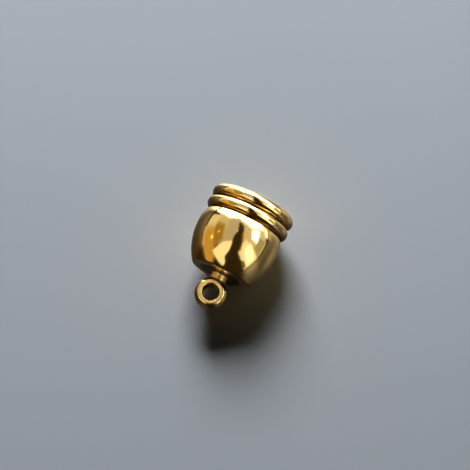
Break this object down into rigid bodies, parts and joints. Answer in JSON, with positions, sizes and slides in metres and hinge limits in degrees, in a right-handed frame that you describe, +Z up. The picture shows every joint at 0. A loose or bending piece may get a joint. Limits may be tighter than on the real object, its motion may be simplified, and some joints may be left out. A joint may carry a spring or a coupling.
{
  "type": "glue-in end cap for a round cord",
  "caption": "Bell-shaped metal end cap with a ridged rim, a blind socket that a round cord is glued into, and a loop on a short neck to hang it or link it to a clasp.",
  "frame": {"origin": "on the surface that the cap lies on, in the middle of its box from above", "axes": "+Z up; the cap lies on its side with its mouth towards +X, tilted up by the angle at which its flank comes to rest, and its loop towards -X"},
  "size_m": [0.0124, 0.0086, 0.0091],
  "materials": {
    "gold_plate": "polished cast metal with thin yellow gold-coloured plating, darker in the grooves"
  },
  "bodies": {
    "root": {"end_cap": "gold_plate"}
  },
  "joints": []
}
